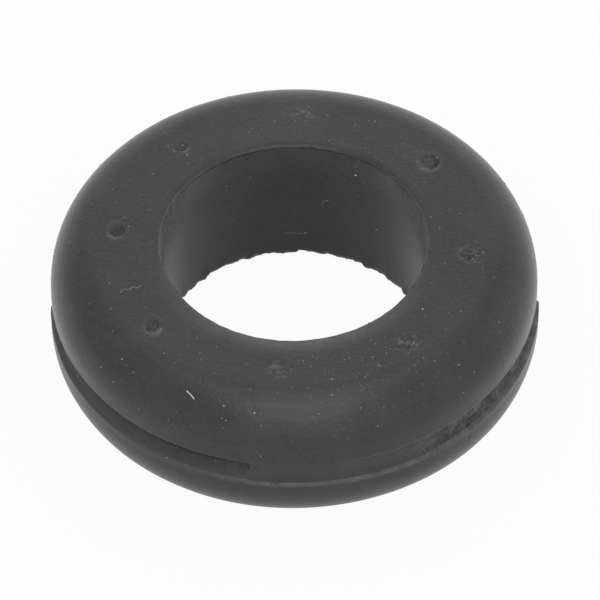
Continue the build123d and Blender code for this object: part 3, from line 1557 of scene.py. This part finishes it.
@dataclass(frozen=True)
class Studio:
    """A white table in a white room, as in a light tent, with weak soft boxes round it.

    Attributes:
        table_radius: Radius of the table, in metres.
        table_corners: How many corners its edge has.
        table_colour: Its colour.
        room_colour: The room's colour.
        room_light: Strength of the light that the room gives.
        table_glow: How much plain white the camera sees on the table.
        table_sheen: The same for gloss and glass.
        room_sheen: How white the room looks in gloss and glass, where 0 is room_light and 1 is white.
        left_share: Strength of the room's left side against its right side.
        lamps: The soft boxes.
    """

    table_radius: float = 0.9
    table_corners: int = 128
    table_colour: str = "#efefef"
    room_colour: str = "#ffffff"
    room_light: float = 0.75
    table_glow: float = 0.94
    table_sheen: float = 0.4
    room_sheen: float = 0.83
    left_share: float = 0.78
    lamps: tuple[SoftBox, ...] = (
        SoftBox("overhead", 0, 89, 0.3),
        SoftBox("front", -90, 55, 0.48),
        SoftBox("back", 90, 25, 0.12),
        SoftBox("low_front", -90, 20, 0.17),
        SoftBox("left", 180, 30, 0.02),
        SoftBox("right", 0, 30, 0.05),
    )

    def build(self, floor_height: float) -> None:
        """Makes the table, the room and the lamps.

        Args:
            floor_height: Height of the table, in metres.
        """
        self._table(floor_height)
        self._room()
        for lamp in self.lamps:
            lamp.build()

    @staticmethod
    def _seen(tree: bpy.types.NodeTree, in_camera: float, in_gloss: float) -> bpy.types.NodeSocket:
        """Gives one value to the camera's rays, one to those of gloss and glass, and 0 to the rest.

        Args:
            tree: The shader tree.
            in_camera: The value for the camera's rays.
            in_gloss: The value for the others.

        Returns:
            The socket that gives the value.
        """
        path = add_node(tree, "ShaderNodeLightPath")
        total = None
        for name, value in (("Is Camera Ray", in_camera), ("Is Glossy Ray", in_gloss),
                            ("Is Transmission Ray", in_gloss)):
            share = add_node(tree, "ShaderNodeMath", {0: path.outputs[name], 1: value},
                             operation="MULTIPLY")
            if total is not None:
                share = add_node(tree, "ShaderNodeMath", {0: total, 1: share.outputs[0]},
                                 operation="MAXIMUM")
            total = share.outputs[0]
        return total

    def _table(self, floor_height: float) -> None:
        """Makes a round table whose far edge is out of every view.

        Args:
            floor_height: Its height, in metres.
        """
        turn = [2 * math.pi * corner / self.table_corners for corner in range(self.table_corners)]
        mesh = bpy.data.meshes.new("table")
        mesh.from_pydata([(self.table_radius * math.cos(t), self.table_radius * math.sin(t), floor_height)
                          for t in turn], [], [tuple(range(self.table_corners))])
        table = add_object("table", mesh)
        # Painted board, an even matt white with no gloss of its own
        material = bpy.data.materials.new("white_table")
        tree = empty_tree(material)
        # Most of what is seen is plain white, and the rest keeps the grommet's shadow
        share = self._seen(tree, self.table_glow, self.table_sheen)
        matt = add_node(tree, "ShaderNodeBsdfDiffuse", {"Color": linear(self.table_colour)})
        glow = add_node(tree, "ShaderNodeEmission", {"Color": linear(self.room_colour), "Strength": 1.0})
        both = add_node(tree, "ShaderNodeMixShader", {0: share, 1: matt.outputs[0], 2: glow.outputs[0]})
        add_node(tree, "ShaderNodeOutputMaterial", {"Surface": both.outputs[0]})
        mesh.materials.append(material)

    def _room(self) -> None:
        """Makes it white all round, at the strength of white where it is seen."""
        world = bpy.data.worlds.new("white_room")
        tree = empty_tree(world)
        level = add_node(tree, "ShaderNodeMapRange", {"Value": self._seen(tree, 1.0, self.room_sheen),
                                                      "To Min": self.room_light, "To Max": 1.0})
        place = add_node(tree, "ShaderNodeTexCoord").outputs["Generated"]
        aside = add_node(tree, "ShaderNodeSeparateXYZ", {0: place}).outputs["X"]
        dimmed = add_node(tree, "ShaderNodeMapRange", {"Value": aside, "From Min": -1.0, "From Max": 0.0,
                                                       "To Min": self.left_share, "To Max": 1.0})
        lit = add_node(tree, "ShaderNodeMath", {0: level.outputs[0], 1: dimmed.outputs[0]},
                       operation="MULTIPLY")
        strength = add_node(tree, "ShaderNodeMath", {0: lit.outputs[0], 1: self._seen(tree, 1.0, 0.0)},
                            operation="MAXIMUM")
        glow = add_node(tree, "ShaderNodeBackground",
                        {"Color": linear(self.room_colour), "Strength": strength.outputs[0]})
        add_node(tree, "ShaderNodeOutputWorld", {"Surface": glow.outputs[0]})
        bpy.context.scene.world = world


@dataclass(frozen=True)
class PhotoCamera:
    """The camera of the photograph, worked out from the outline of the grommet.

    Attributes:
        elevation: Height above the horizon, in degrees.
        distance: From the middle of the bore, in metres.
        scale: Pixels to a millimetre at that distance.
        roll: Turn about the line of sight, in degrees.
        middle: Where the middle of the bore falls in the picture, in pixels.
        sensor_mm: Width of its sensor.
        nearest: The nearest that it sees, in metres.
        furthest: The furthest that it sees, in metres.
    """

    elevation: float = 46.35
    distance: float = 0.3
    scale: float = 22.043
    roll: float = -0.836
    middle: tuple[float, float] = (294.3, 294.75)
    sensor_mm: float = 36.0
    nearest: float = 0.01
    furthest: float = 10.0

    @property
    def turn(self) -> Matrix:
        """The camera's rotation."""
        rise = Euler((math.pi / 2 - math.radians(self.elevation), 0, 0)).to_matrix()
        return rise @ Euler((0, 0, math.radians(self.roll))).to_matrix()

    @property
    def place(self) -> Vector:
        """The camera's place, moved in its own plane so that the bore is where the photograph has it.

        Returns:
            The place, in metres.
        """
        aside = (IMAGE_SIZE / 2 - self.middle[0]) / self.scale * MM
        above = (self.middle[1] - IMAGE_SIZE / 2) / self.scale * MM
        return self.turn @ Vector((aside, above, self.distance))

    def sight_line(self, u: float, v: float) -> tuple[Vector, Vector]:
        """The camera's place, and the direction in which it sees a pixel.

        Args:
            u: Pixels from the left of the picture.
            v: Pixels from its top.

        Returns:
            The place and the direction.
        """
        focus = self.scale * self.distance / MM
        pixel = Vector((u - IMAGE_SIZE / 2, IMAGE_SIZE / 2 - v, -focus))
        return self.place, self.turn @ pixel.normalized()

    def build(self) -> None:
        """Makes the camera and gives it to the scene."""
        data = bpy.data.cameras.new("camera")
        data.sensor_width = self.sensor_mm
        data.lens = self.scale * self.distance / MM / IMAGE_SIZE * self.sensor_mm
        data.clip_start, data.clip_end = self.nearest, self.furthest
        camera = add_object("camera", data)
        camera.location = self.place
        camera.rotation_euler = self.turn.to_euler()
        bpy.context.scene.camera = camera


def main() -> None:
    """Builds the grommet, its table, light and camera."""
    logging.basicConfig(level=logging.INFO, format="%(name)s: %(message)s")
    bpy.context.scene.view_settings.view_transform = "Standard"
    section = Section.from_frame(FLANGE_STEP)
    log.info("section: %s", section)
    rubber = MouldedRubber().build()
    moulding = Moulding(section, FLANGE_STEP).build(rubber)
    camera = PhotoCamera()
    dirt = LooseDirt(moulding, camera).build(rubber)
    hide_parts(NODE)
    for piece in (moulding, *dirt):
        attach(piece, BODY)
        triangles = sum(len(face.vertices) - 2 for face in piece.data.polygons)
        log.info("%s: %d triangles", piece.name, triangles)
    Studio().build(-section.face_height * MM)
    camera.build()


if __name__ == "__main__":
    main()
